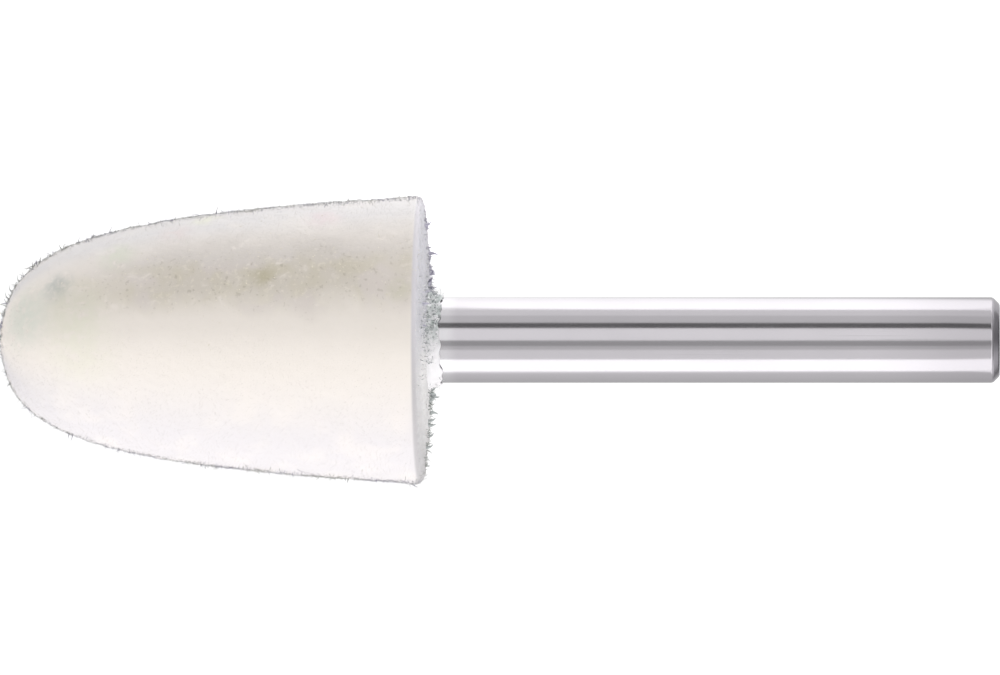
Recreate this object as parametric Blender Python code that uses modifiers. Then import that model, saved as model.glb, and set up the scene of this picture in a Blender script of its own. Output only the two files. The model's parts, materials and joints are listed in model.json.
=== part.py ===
"""Felt polishing point: a bullet-shaped felt head bonded onto a round steel shank.

The three pieces are turned about one common axis, the empty tool_axis, whose Z runs from the tip
of the nose to the free end of the shank. The tool lies on a flat surface as it would come to rest,
on the rim of its head and on the end of its shank. The row origin is on that surface, under the
middle of the tool, with +X towards the end of the shank.
"""

import math

import bpy
from mathutils import Vector
from mathutils.geometry import interpolate_bezier

MM = 0.001

# Felt head: a blunt bullet that is widest at its back rim
HEAD_LENGTH = 30.0 * MM
HEAD_RADIUS = 10.0 * MM
NOSE_FULLNESS = 6.8 * MM  # length of the curve's handle at the tip, square to the axis
FLANK_FULLNESS = 22.5 * MM  # length of the curve's handle at the rim, along the flank
FLANK_TAPER = math.radians(3.4)  # angle between the flank at the rim and the axis
RIM_FILLET = 0.5 * MM
BACK_CROWN = 0.4 * MM  # how far the back face swells towards the shank

# Steel shank: ground round bar, held by keying grooves where it sits in the head
SHANK_RADIUS = 3.0 * MM
SHANK_EXPOSED = 40.0 * MM
SHANK_EMBEDDED = 18.0 * MM
END_CHAMFER = 0.5 * MM
LEAD_CHAMFER = 0.8 * MM
GROOVE_COUNT = 5
GROOVE_PITCH = 3.0 * MM
GROOVE_WIDTH = 1.2 * MM
GROOVE_DEPTH = 0.4 * MM
GROOVE_FLANK = 0.3 * MM  # length of each sloping side of a groove, along the axis

# Bond: the film that lines the hole, and the bead squeezed out round the root of the shank
BOND_WALL = 0.15 * MM
BOND_FLOOR = 0.5 * MM
BEAD_HEIGHT = 1.1 * MM
BEAD_OVERLAP = 0.2 * MM  # how far the bead spreads past the hole over the back face
BEAD_LIP = 0.1 * MM  # thickness of the bead where it ends on the shank
CLEARANCE = 0.05 * MM  # between the bond and the pieces that it joins

DRILL_POINT = math.radians(118.0)  # full angle of the conical bottom that the drill leaves

# Fineness of the curves
TURN_SEGMENTS = 48
FLANK_SEGMENTS = 27
FILLET_SEGMENTS = 4
CROWN_SEGMENTS = 4
BEAD_SEGMENTS = 6

FELT_COLOR = (0.86, 0.83, 0.79, 1.0)
STEEL_COLOR = (0.62, 0.61, 0.62, 1.0)
BOND_COLOR = (0.78, 0.78, 0.74, 1.0)

MERGE_DISTANCE = CLEARANCE / 50.0  # points of a turned piece that are this close become one
BORE_RADIUS = SHANK_RADIUS + BOND_WALL + 2.0 * CLEARANCE
SHANK_END = HEAD_LENGTH + SHANK_EXPOSED
SHANK_ROOT = HEAD_LENGTH - SHANK_EMBEDDED


def arc(center, radius, start, end, segments):
    """Points (radius, height) on an arc, from the start angle to the end angle."""
    angles = [start + (end - start) * i / segments for i in range(segments + 1)]
    return [(center[0] + radius * math.cos(a), center[1] + radius * math.sin(a)) for a in angles]


def drill_point_depth(radius):
    """Height of the cone that a drill of this radius leaves at the bottom of its hole."""
    return radius / math.tan(DRILL_POINT / 2.0)


def back_face_height(radius):
    """Height of the head's slightly swollen back face at a distance from the axis."""
    return HEAD_LENGTH - BACK_CROWN * (radius / (HEAD_RADIUS - RIM_FILLET)) ** 2


def head_outline():
    """The outside of the head, from the middle of its back face over the rim to the tip."""
    flat_edge = HEAD_RADIUS - RIM_FILLET
    fillet_center = (flat_edge, back_face_height(flat_edge) - RIM_FILLET)
    step = (flat_edge - BORE_RADIUS) / CROWN_SEGMENTS
    crown = [BORE_RADIUS + step * i for i in range(CROWN_SEGMENTS)]
    back = [(radius, back_face_height(radius)) for radius in crown]
    rim = arc(fillet_center, RIM_FILLET, math.pi / 2.0, FLANK_TAPER, FILLET_SEGMENTS)
    rim_point = Vector((*rim[-1], 0.0))
    along_flank = Vector((-math.sin(FLANK_TAPER), -math.cos(FLANK_TAPER), 0.0))
    flank = interpolate_bezier(
        rim_point,
        rim_point + FLANK_FULLNESS * along_flank,
        Vector((NOSE_FULLNESS, 0.0, 0.0)),
        Vector((0.0, 0.0, 0.0)),
        FLANK_SEGMENTS + 1,
    )
    return back + rim + [(point.x, point.y) for point in flank[1:]]


def head_profile():
    """The whole head: up the drilled hole, then round the outside to the tip."""
    hole_floor = SHANK_ROOT - BOND_FLOOR - 2.0 * CLEARANCE
    hole = [
        (0.0, hole_floor - drill_point_depth(BORE_RADIUS)),
        (BORE_RADIUS, hole_floor),
    ]
    return hole + head_outline()


def groove_walls(radius):
    """The keyed stretch of the shank, top to bottom, drawn at the given full radius."""
    stretch = (GROOVE_COUNT - 1) * GROOVE_PITCH + GROOVE_WIDTH
    top = SHANK_ROOT + (SHANK_EMBEDDED + stretch) / 2.0
    walls = []
    for i in range(GROOVE_COUNT):
        upper = top - i * GROOVE_PITCH
        lower = upper - GROOVE_WIDTH
        walls.append((radius, upper))
        walls.append((radius - GROOVE_DEPTH, upper - GROOVE_FLANK))
        walls.append((radius - GROOVE_DEPTH, lower + GROOVE_FLANK))
        walls.append((radius, lower))
    return walls


def shank_profile():
    """The shank from the middle of its free end down to the middle of its hidden end."""
    free_end = [
        (0.0, SHANK_END),
        (SHANK_RADIUS - END_CHAMFER, SHANK_END),
        (SHANK_RADIUS, SHANK_END - END_CHAMFER),
    ]
    hidden_end = [
        (SHANK_RADIUS, SHANK_ROOT + LEAD_CHAMFER),
        (SHANK_RADIUS - LEAD_CHAMFER, SHANK_ROOT),
        (0.0, SHANK_ROOT),
    ]
    return free_end + groove_walls(SHANK_RADIUS) + hidden_end


def bond_profile():
    """The bond: up its inside, which fills the grooves, over the bead and down to the drill point."""
    inner = SHANK_RADIUS + CLEARANCE
    outer = inner + BOND_WALL
    floor = SHANK_ROOT - CLEARANCE
    bead_top = HEAD_LENGTH + BEAD_HEIGHT
    bead_radius = BORE_RADIUS + BEAD_OVERLAP
    bead_foot = back_face_height(bead_radius) + CLEARANCE
    inside = [(0.0, floor), (inner - LEAD_CHAMFER, floor), (inner, SHANK_ROOT + LEAD_CHAMFER)]
    inside += reversed(groove_walls(inner))
    spread = bead_radius - inner - BEAD_LIP
    rise = bead_top - bead_foot - BEAD_LIP
    hollow = arc((1.0, 1.0), 1.0, -math.pi, -math.pi / 2.0, BEAD_SEGMENTS)
    bead = [(inner + BEAD_LIP + spread * out, bead_foot + BEAD_LIP + rise * up) for out, up in hollow]
    foot = [
        (bead_radius, bead_foot),
        (outer, back_face_height(outer) + CLEARANCE),
        (outer, floor - BOND_FLOOR),
        (0.0, floor - BOND_FLOOR - drill_point_depth(outer)),
    ]
    return inside + [(inner, bead_top)] + bead + foot


def resting_tilt(head, shank):
    """How far the axis drops towards the shank when rim and shank end both touch the surface."""
    return min(
        max(math.atan2(r_head - r_end, z_end - z_head) for r_head, z_head in head)
        for r_end, z_end in shank
        if z_end > HEAD_LENGTH
    )


def make_axis(head, shank):
    """The empty that carries the pieces, set down on the surface with the tool's middle at X 0."""
    flat = math.cos(math.pi / TURN_SEGMENTS)  # a flat of the turned shape lies on the surface
    outline = [(radius * flat, height) for radius, height in head]
    bar = [(radius * flat, height) for radius, height in shank]
    tilt = resting_tilt(outline, bar)
    points = outline + bar
    low_x = min(z * math.cos(tilt) - r * math.sin(tilt) for r, z in points)
    high_x = max(z * math.cos(tilt) + r * math.sin(tilt) for r, z in points)
    drop = max(z * math.sin(tilt) + r * math.cos(tilt) for r, z in points)
    axis = bpy.data.objects.new("tool_axis", None)
    axis.empty_display_size = HEAD_RADIUS
    axis.location = (-(low_x + high_x) / 2.0, 0.0, drop)
    axis.rotation_euler = (0.0, math.pi / 2.0 + tilt, 0.0)
    return axis


def make_material(name, color, roughness, metallic):
    """A plain finish for one piece."""
    material = bpy.data.materials.new(name)
    material.use_nodes = True
    material.diffuse_color = color
    shader = material.node_tree.nodes["Principled BSDF"]
    shader.inputs["Base Color"].default_value = color
    shader.inputs["Roughness"].default_value = roughness
    shader.inputs["Metallic"].default_value = metallic
    return material


def turn(name, profile, material, axis, collection):
    """Turns a profile of (radius, height) points about the axis into one closed piece."""
    mesh = bpy.data.meshes.new(name)
    vertices = [(radius, 0.0, height) for radius, height in profile]
    edges = [(i, i + 1) for i in range(len(profile) - 1)]
    mesh.from_pydata(vertices, edges, [])
    mesh.materials.append(material)
    piece = bpy.data.objects.new(name, mesh)
    collection.objects.link(piece)
    piece.parent = axis
    piece.rotation_euler = (0.0, 0.0, math.pi / TURN_SEGMENTS)
    screw = piece.modifiers.new("turned", "SCREW")
    screw.axis = "Z"
    screw.angle = 2.0 * math.pi
    screw.steps = TURN_SEGMENTS
    screw.render_steps = TURN_SEGMENTS
    screw.use_merge_vertices = True
    screw.merge_threshold = MERGE_DISTANCE
    screw.use_smooth_shade = True
    return piece


def build():
    """Builds the polishing point in a collection of its own."""
    for old in list(bpy.data.objects):
        bpy.data.objects.remove(old, do_unlink=True)
    collection = bpy.data.collections.new("felt_polishing_point")
    bpy.context.scene.collection.children.link(collection)

    axis = make_axis(head_outline(), shank_profile())
    collection.objects.link(axis)

    felt = make_material("pressed_wool_felt", FELT_COLOR, 0.95, 0.0)
    steel = make_material("ground_steel", STEEL_COLOR, 0.25, 1.0)
    bond = make_material("cured_adhesive", BOND_COLOR, 0.4, 0.0)
    turn("felt_head", head_profile(), felt, axis, collection)
    turn("shank", shank_profile(), steel, axis, collection)
    turn("adhesive", bond_profile(), bond, axis, collection)
    bpy.context.view_layer.update()


build()
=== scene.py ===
"""Looks of a felt polishing point: a fuzzy, slightly soiled felt head bonded onto a bright steel shank.

Every length is in metres. A place on the tool is given along its axis, from the tip of the nose to
the end of the shank, and around it, in degrees from the side that faces up towards +Y.
"""

import json
import logging
import math
from dataclasses import dataclass, field
from enum import Enum
from typing import Any

import bpy
from mathutils import Matrix, Vector, noise
from mathutils.geometry import interpolate_bezier


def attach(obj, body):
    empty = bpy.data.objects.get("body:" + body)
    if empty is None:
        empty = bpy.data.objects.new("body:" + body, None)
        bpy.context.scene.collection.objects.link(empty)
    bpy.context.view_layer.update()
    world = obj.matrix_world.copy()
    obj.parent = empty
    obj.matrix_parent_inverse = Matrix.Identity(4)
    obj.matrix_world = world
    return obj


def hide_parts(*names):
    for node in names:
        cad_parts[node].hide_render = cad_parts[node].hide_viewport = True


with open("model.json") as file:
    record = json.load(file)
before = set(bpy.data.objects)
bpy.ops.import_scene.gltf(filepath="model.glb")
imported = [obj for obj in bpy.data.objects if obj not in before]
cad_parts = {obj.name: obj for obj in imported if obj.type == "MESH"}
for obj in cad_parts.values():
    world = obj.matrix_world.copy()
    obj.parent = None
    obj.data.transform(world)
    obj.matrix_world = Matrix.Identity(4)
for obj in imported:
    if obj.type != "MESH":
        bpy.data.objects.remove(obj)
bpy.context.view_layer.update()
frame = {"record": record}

MM = 0.001
BODY = "root"
Outline = list[tuple[float, float]]
Span = tuple[float, float]
UV_MAP = "around_and_along"
MARKS = ("nap", "down", "pills", "hooks", "ragged", "ragged_under", "smear", "clumps", "relief", "band")

# Points of a fibre's curve: how far out and how far aside, in shares of its length and of its bend
FIBRE_CURVE = (("Start", -0.15, 0.0), ("Middle", 0.6, 0.0), ("End", 0.85, 1.0))
FIBRE_TIP = 0.12  # what is left of a fibre's radius at its tip

logging.basicConfig(level=logging.INFO, format="%(name)s: %(message)s")
log = logging.getLogger("felt_point")


def linear(hex_color: str) -> tuple[float, float, float, float]:
    """Turns an sRGB colour such as "#e8e4dc" into linear RGBA.

    Args:
        hex_color: Six hexadecimal digits after a hash sign.

    Returns:
        Linear red, green and blue, and an alpha of one.
    """
    parts = [int(hex_color[i : i + 2], 16) / 255.0 for i in (1, 3, 5)]
    curve = [c / 12.92 if c <= 0.04045 else ((c + 0.055) / 1.055) ** 2.4 for c in parts]
    return (curve[0], curve[1], curve[2], 1.0)


def add_node(
    tree: bpy.types.NodeTree, kind: str, inputs: dict[str, Any] | None = None, **options: Any
) -> bpy.types.Node:
    """Adds a node with its options, and sets or links its inputs.

    Args:
        tree: The node tree that gets the node.
        kind: Blender's name for the kind of node.
        inputs: Socket identifier to a value, or to the output socket that feeds it.
        options: The node's own settings.

    Returns:
        The new node.
    """
    node = tree.nodes.new(kind)
    for name, value in options.items():
        setattr(node, name, value)
    sockets = {socket.identifier: socket for socket in node.inputs}
    for name, value in (inputs or {}).items():
        if isinstance(value, bpy.types.NodeSocket):
            tree.links.new(value, sockets[name])
        else:
            sockets[name].default_value = value
    return node


def rise(value: float, span: Span) -> float:
    """A straight step of a number: 0 where the span starts and 1 where it ends, either way round."""
    return min(max((value - span[0]) / (span[1] - span[0]), 0.0), 1.0)


def at_least(least: float, share: float) -> float:
    """Lifts a share so that it runs from its least value to 1."""
    return least + (1.0 - least) * share


def ramp(
    tree: bpy.types.NodeTree, value: Any, span: Span, to: tuple[Any, Any] = (0.0, 1.0)
) -> bpy.types.NodeSocket:
    """Adds a smooth step of a value.

    Args:
        tree: The node tree.
        value: The socket to read.
        span: The values where the step starts and ends, either way round.
        to: What the step gives there, as numbers or sockets.

    Returns:
        The socket with the step.
    """
    ends = {"From Min": span[0], "From Max": span[1], "To Min": to[0], "To Max": to[1]}
    step = add_node(tree, "ShaderNodeMapRange", {"Value": value, **ends}, interpolation_type="SMOOTHSTEP")
    return step.outputs["Result"]


def product(tree: bpy.types.NodeTree, *values: Any) -> bpy.types.NodeSocket:
    """Multiplies two or more values.

    Args:
        tree: The node tree.
        values: Numbers or sockets.

    Returns:
        The socket with their product.
    """
    total = values[0]
    for value in values[1:]:
        both = {"Value": total, "Value_001": value}
        total = add_node(tree, "ShaderNodeMath", both, operation="MULTIPLY").outputs[0]
    return total


def between(tree: bpy.types.NodeTree, value: Any, edges: tuple[Span, Span]) -> bpy.types.NodeSocket:
    """Adds a stretch with two soft edges: 1 between them and 0 beyond them."""
    return product(tree, ramp(tree, value, edges[0]), ramp(tree, value, edges[1]))


def layered(tree: bpy.types.NodeTree, color: Any, *layers: tuple[Any, Any]) -> bpy.types.NodeSocket:
    """Lays colours over a colour, one after another.

    Args:
        tree: The node tree.
        color: The colour underneath.
        layers: Each layer's share, from 0 to 1, and its colour.

    Returns:
        The socket with the resulting colour.
    """
    for share, over in layers:
        parts = {"Factor_Float": share, "A_Color": color, "B_Color": over}
        color = add_node(tree, "ShaderNodeMix", parts, data_type="RGBA").outputs[2]
    return color


def grain(
    tree: bpy.types.NodeTree, place: Any, size: float, detail: float = 2.0, stretch: float = 0.0
) -> bpy.types.NodeSocket:
    """Adds noise whose lumps are about one size across.

    Args:
        tree: The node tree.
        place: The coordinates.
        size: The size of a lump, in the same unit.
        detail: How many finer layers lie over it.
        stretch: How far the lumps are warped.

    Returns:
        The socket with the noise, from 0 to 1.
    """
    settings = {"Vector": place, "Scale": 1.0 / size, "Detail": detail, "Distortion": stretch}
    return add_node(tree, "ShaderNodeTexNoise", settings).outputs["Fac"]


def new_material(name: str, color: str) -> tuple[bpy.types.Material, bpy.types.NodeTree, bpy.types.Node]:
    """Starts a material and gives it a plain colour.

    Args:
        name: The material's name.
        color: Its plain colour, for views without nodes.

    Returns:
        The material, its tree and its Principled shader.
    """
    material = bpy.data.materials.new(name)
    material.use_nodes = True
    material.diffuse_color = linear(color)
    shader = material.node_tree.nodes["Principled BSDF"]
    shader.inputs["Base Color"].default_value = linear(color)
    return material, material.node_tree, shader


@dataclass(frozen=True)
class ToolAxis:
    """The line that the three pieces are turned about."""

    tip: Vector
    along: Vector

    @classmethod
    def from_record(cls, record: dict[str, Any], length: float) -> "ToolAxis":
        """Finds the axis from the flat face at the end of the shank.

        Args:
            record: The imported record.
            length: The tool's length, from that face to the tip.

        Returns:
            The tool's axis.
        """
        end = next(mount for mount in record["mounts"] if mount["name"] == "shank_end")
        along = Vector(end["axis"]).normalized()
        return cls(Vector(end["pos_m"]) - length * along, along)

    @property
    def side(self) -> Vector:
        """The level direction square to the axis."""
        return Vector((0.0, 1.0, 0.0))

    @property
    def up(self) -> Vector:
        """The direction square to the axis that points away from the surface."""
        return self.along.cross(self.side).normalized()

    def point(self, radius: float, height: float, around: float = 0.0) -> Vector:
        """A place on the tool.

        Args:
            radius: Distance from the axis.
            height: Distance from the tip, along the axis.
            around: Degrees from straight up towards the side.

        Returns:
            The point in the row frame.
        """
        angle = math.radians(around)
        out = math.cos(angle) * self.up + math.sin(angle) * self.side
        return self.tip + height * self.along + radius * out


def turned(name: str, outline: Outline, segments: int, axis: ToolAxis, length: float) -> bpy.types.Object:
    """Turns an outline about the tool's axis into one closed piece with a UV map.

    U runs around the axis and is 0.5 on top. V runs along it, from 0 at the tip to 1 at the length.

    Args:
        name: The piece's name.
        outline: (radius, height) points that start and end on the axis, top to bottom outside.
        segments: How many steps the turn has.
        axis: The tool's axis.
        length: The length that V counts in.

    Returns:
        The new object.
    """
    turns = [360.0 * j / segments - 180.0 for j in range(segments)]
    rings = outline[1:-1]
    points = [axis.point(radius, height, around) for radius, height in rings for around in turns]
    first, last = len(points), len(points) + 1
    points += [axis.point(*outline[0]), axis.point(*outline[-1])]
    faces, corners = [], []
    share = [j / segments for j in range(segments + 1)]
    for j in range(segments):
        after = (j + 1) % segments
        middle = (share[j] + share[j + 1]) / 2.0
        faces.append((first, after, j))
        corners += [(middle, outline[0][1]), (share[j + 1], rings[0][1]), (share[j], rings[0][1])]
        for i in range(len(rings) - 1):
            low, high = i * segments, (i + 1) * segments
            faces.append((low + j, low + after, high + after, high + j))
            for u, ring in ((share[j], i), (share[j + 1], i), (share[j + 1], i + 1), (share[j], i + 1)):
                corners.append((u, rings[ring][1]))
        bottom = (len(rings) - 1) * segments
        faces.append((bottom + j, bottom + after, last))
        corners += [(share[j], rings[-1][1]), (share[j + 1], rings[-1][1]), (middle, outline[-1][1])]
    mesh = bpy.data.meshes.new(name)
    mesh.from_pydata(points, [], faces)
    layer = mesh.uv_layers.new(name=UV_MAP)
    layer.data.foreach_set("uv", [part for u, height in corners for part in (u, height / length)])
    mesh.shade_smooth()
    piece = bpy.data.objects.new(name, mesh)
    bpy.context.scene.collection.objects.link(piece)
    return piece


def mark(piece: bpy.types.Object, name: str, values: list[float]) -> None:
    """Stores one number for each point of a piece."""
    layer = piece.data.attributes.new(name, "FLOAT", "POINT")
    layer.data.foreach_set("value", values)


def bake_nodes(
    piece: bpy.types.Object, tree: bpy.types.NodeTree, values: dict[str, Any], name: str
) -> bpy.types.Object:
    """Runs a Geometry Nodes tree on a piece and keeps its result as a plain mesh.

    Args:
        piece: The object that the tree starts from. It stays as it is.
        tree: The tree.
        values: The tree's input names to their values.
        name: The name of the result.

    Returns:
        A new object that holds the result.
    """
    worker = bpy.data.objects.new(name, piece.data)
    bpy.context.scene.collection.objects.link(worker)
    modifier = worker.modifiers.new(tree.name, "NODES")
    modifier.node_group = tree
    for socket in tree.interface.items_tree:
        if socket.item_type == "SOCKET" and socket.in_out == "INPUT" and socket.name in values:
            modifier[socket.identifier] = values[socket.name]
    worker.update_tag()
    graph = bpy.context.evaluated_depsgraph_get()
    mesh = bpy.data.meshes.new_from_object(worker.evaluated_get(graph), depsgraph=graph)
    worker.modifiers.remove(modifier)
    worker.data = mesh
    mesh.name = name
    return worker


def new_tree(
    name: str, inputs: dict[str, str]
) -> tuple[bpy.types.NodeTree, bpy.types.Node, bpy.types.Node]:
    """Starts a Geometry Nodes tree with a geometry input and output.

    Args:
        name: The tree's name.
        inputs: Input names to socket types.

    Returns:
        The tree, its input node and its output node.
    """
    tree = bpy.data.node_groups.new(name, "GeometryNodeTree")
    tree.interface.new_socket("Surface", in_out="INPUT", socket_type="NodeSocketGeometry")
    for socket, kind in inputs.items():
        tree.interface.new_socket(socket, in_out="INPUT", socket_type=kind)
    tree.interface.new_socket("Result", in_out="OUTPUT", socket_type="NodeSocketGeometry")
    return tree, tree.nodes.new("NodeGroupInput"), tree.nodes.new("NodeGroupOutput")


def relief_tree() -> bpy.types.NodeTree:
    """A tree that raises and lowers a surface by two grains, where a mark on it says.

    Returns:
        The tree.
    """
    tree, given, result = new_tree(
        "surface_relief",
        {
            "Where": "NodeSocketString",
            "Coarse Size": "NodeSocketFloat",
            "Coarse Depth": "NodeSocketFloat",
            "Fine Size": "NodeSocketFloat",
            "Fine Depth": "NodeSocketFloat",
            "Finish": "NodeSocketMaterial",
        },
    )
    place = add_node(tree, "GeometryNodeInputPosition").outputs["Position"]
    where = add_node(
        tree, "GeometryNodeInputNamedAttribute", {"Name": given.outputs["Where"]}, data_type="FLOAT"
    )
    layers = []
    for layer in ("Coarse", "Fine"):
        size = {"Value": 1.0, "Value_001": given.outputs[f"{layer} Size"]}
        scale = add_node(tree, "ShaderNodeMath", size, operation="DIVIDE")
        texture = add_node(
            tree,
            "ShaderNodeTexNoise",
            {"Vector": place, "Scale": scale.outputs[0], "Detail": 2.0, "Distortion": 0.4},
        )
        centered = {"Value": texture.outputs["Fac"], "Value_001": 0.5}
        lift = add_node(tree, "ShaderNodeMath", centered, operation="SUBTRACT")
        layers.append(product(tree, lift.outputs[0], given.outputs[f"{layer} Depth"]))
    both = add_node(tree, "ShaderNodeMath", {"Value": layers[0], "Value_001": layers[1]}, operation="ADD")
    amount = product(tree, both.outputs[0], where.outputs["Attribute"])
    normal = add_node(tree, "GeometryNodeInputNormal").outputs["Normal"]
    offset = add_node(tree, "ShaderNodeVectorMath", {"Vector": normal, "Scale": amount}, operation="SCALE")
    moved = add_node(
        tree,
        "GeometryNodeSetPosition",
        {"Geometry": given.outputs["Surface"], "Offset": offset.outputs["Vector"]},
    )
    real = add_node(tree, "GeometryNodeRealizeInstances", {"Geometry": moved.outputs["Geometry"]})
    dressed = add_node(
        tree,
        "GeometryNodeSetMaterial",
        {"Geometry": real.outputs["Geometry"], "Material": given.outputs["Finish"]},
    )
    tree.links.new(dressed.outputs["Geometry"], result.inputs["Result"])
    return tree


@dataclass(frozen=True)
class Relief:
    """How far a surface is raised and lowered, by a coarse and a fine grain, where a mark on it says."""

    where: str
    coarse_size: float
    coarse_depth: float
    fine_size: float
    fine_depth: float

    def press(self, form: bpy.types.Object, finish: bpy.types.Material, name: str) -> bpy.types.Object:
        """Makes a copy of a form that has this relief.

        Args:
            form: The smooth form.
            finish: The copy's material.
            name: The copy's name.

        Returns:
            The copy.
        """
        values = {
            "Where": self.where,
            "Coarse Size": self.coarse_size,
            "Coarse Depth": self.coarse_depth,
            "Fine Size": self.fine_size,
            "Fine Depth": self.fine_depth,
            "Finish": finish,
        }
        return bake_nodes(form, relief_tree(), values, name)


class FibreForm(Enum):
    """The forms that a fibre takes: (steps along it, sides). A form with no steps is a plain cone."""

    POINT = (0, 3)
    CURL = (4, 3)
    TUFT = (4, 5)


def strand_nodes(tree: bpy.types.NodeTree, given: bpy.types.Node, form: FibreForm) -> bpy.types.Node:
    """Adds the nodes that make one fibre, which stands on its root and bends over along X.

    Args:
        tree: The fibre tree.
        given: Its input node.
        form: How fine the fibre is.

    Returns:
        The node whose Mesh output is the fibre.
    """
    steps, sides = form.value
    length, radius = given.outputs["Length"], given.outputs["Root Radius"]
    if not steps:
        return add_node(
            tree,
            "GeometryNodeMeshCone",
            {"Vertices": sides, "Radius Top": 0.0, "Radius Bottom": radius, "Depth": length},
        )
    ends = {}
    for name, out, bend in FIBRE_CURVE:
        aside = product(tree, length, given.outputs["Bend"], bend)
        place = add_node(tree, "ShaderNodeCombineXYZ", {"X": aside, "Z": product(tree, length, out)})
        ends[name] = place.outputs["Vector"]
    line = add_node(tree, "GeometryNodeCurveQuadraticBezier", {"Resolution": steps, **ends})
    factor = add_node(tree, "GeometryNodeSplineParameter").outputs["Factor"]
    taper = add_node(tree, "ShaderNodeMapRange", {"Value": factor, "To Min": 1.0, "To Max": FIBRE_TIP})
    circle = add_node(tree, "GeometryNodeCurvePrimitiveCircle", {"Resolution": sides, "Radius": 1.0})
    return add_node(
        tree,
        "GeometryNodeCurveToMesh",
        {
            "Curve": line.outputs["Curve"],
            "Profile Curve": circle.outputs["Curve"],
            "Scale": product(tree, taper.outputs["Result"], radius),
            "Fill Caps": True,
        },
    )


def fibre_tree(form: FibreForm) -> bpy.types.NodeTree:
    """A tree that grows tapered fibres of one form on a surface, and leaves the surface out.

    Args:
        form: How fine each fibre is.

    Returns:
        The tree.
    """
    tree, given, result = new_tree(
        f"fibres_{form.name.lower()}",
        {
            "Where": "NodeSocketString",
            "Number Per mm2": "NodeSocketFloat",
            "Length": "NodeSocketFloat",
            "Root Radius": "NodeSocketFloat",
            "Bend": "NodeSocketFloat",
            "Lean": "NodeSocketFloat",
            "Smallest": "NodeSocketFloat",
            "Seed": "NodeSocketInt",
            "Finish": "NodeSocketMaterial",
        },
    )
    strand = strand_nodes(tree, given, form)
    where = add_node(
        tree, "GeometryNodeInputNamedAttribute", {"Name": given.outputs["Where"]}, data_type="FLOAT"
    )
    number = product(tree, given.outputs["Number Per mm2"], 1.0 / MM**2, where.outputs["Attribute"])
    roots = add_node(
        tree,
        "GeometryNodeDistributePointsOnFaces",
        {"Mesh": given.outputs["Surface"], "Density": number, "Seed": given.outputs["Seed"]},
    )
    lean = given.outputs["Lean"]
    back = product(tree, lean, -1.0)
    lowest = add_node(tree, "ShaderNodeCombineXYZ", {"X": back, "Y": back, "Z": -math.pi})
    highest = add_node(tree, "ShaderNodeCombineXYZ", {"X": lean, "Y": lean, "Z": math.pi})
    angles = add_node(
        tree,
        "FunctionNodeRandomValue",
        {
            "Min": lowest.outputs["Vector"],
            "Max": highest.outputs["Vector"],
            "Seed": given.outputs["Seed"],
        },
        data_type="FLOAT_VECTOR",
    )
    turn = add_node(tree, "FunctionNodeEulerToRotation", {"Euler": angles.outputs[0]})
    stand = add_node(
        tree,
        "FunctionNodeRotateRotation",
        {"Rotation": roots.outputs["Rotation"], "Rotate By": turn.outputs["Rotation"]},
        rotation_space="LOCAL",
    )
    size = add_node(
        tree,
        "FunctionNodeRandomValue",
        {"Min_001": given.outputs["Smallest"], "Max_001": 1.0, "Seed": given.outputs["Seed"]},
        data_type="FLOAT",
    )
    planted = add_node(
        tree,
        "GeometryNodeInstanceOnPoints",
        {
            "Points": roots.outputs["Points"],
            "Instance": strand.outputs["Mesh"],
            "Rotation": stand.outputs["Rotation"],
            "Scale": size.outputs[1],
        },
    )
    real = add_node(tree, "GeometryNodeRealizeInstances", {"Geometry": planted.outputs["Instances"]})
    dressed = add_node(
        tree,
        "GeometryNodeSetMaterial",
        {"Geometry": real.outputs["Geometry"], "Material": given.outputs["Finish"]},
    )
    tree.links.new(dressed.outputs["Geometry"], result.inputs["Result"])
    return tree


@dataclass(frozen=True)
class Patch:
    """A round patch of soil in the felt, by its place on the tool and its size."""

    height: float
    around: float
    size: float
    color: str
    strength: float


@dataclass(frozen=True)
class PaintedEdgeShade:
    """Painted light and shade of the felt from a share of its length onwards, on the side towards -Y and on
    the rest.
    """

    start: float
    near: str
    far: str


@dataclass(frozen=True)
class FeltPattern:
    """The coordinates and grains that the felt's colour and nap are made from."""

    tree: bpy.types.NodeTree
    place: bpy.types.NodeSocket
    around: bpy.types.NodeSocket
    strayed: bpy.types.NodeSocket
    along: bpy.types.NodeSocket
    cloud: bpy.types.NodeSocket
    blotch: bpy.types.NodeSocket
    mottle: bpy.types.NodeSocket
    speckle: bpy.types.NodeSocket


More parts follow.
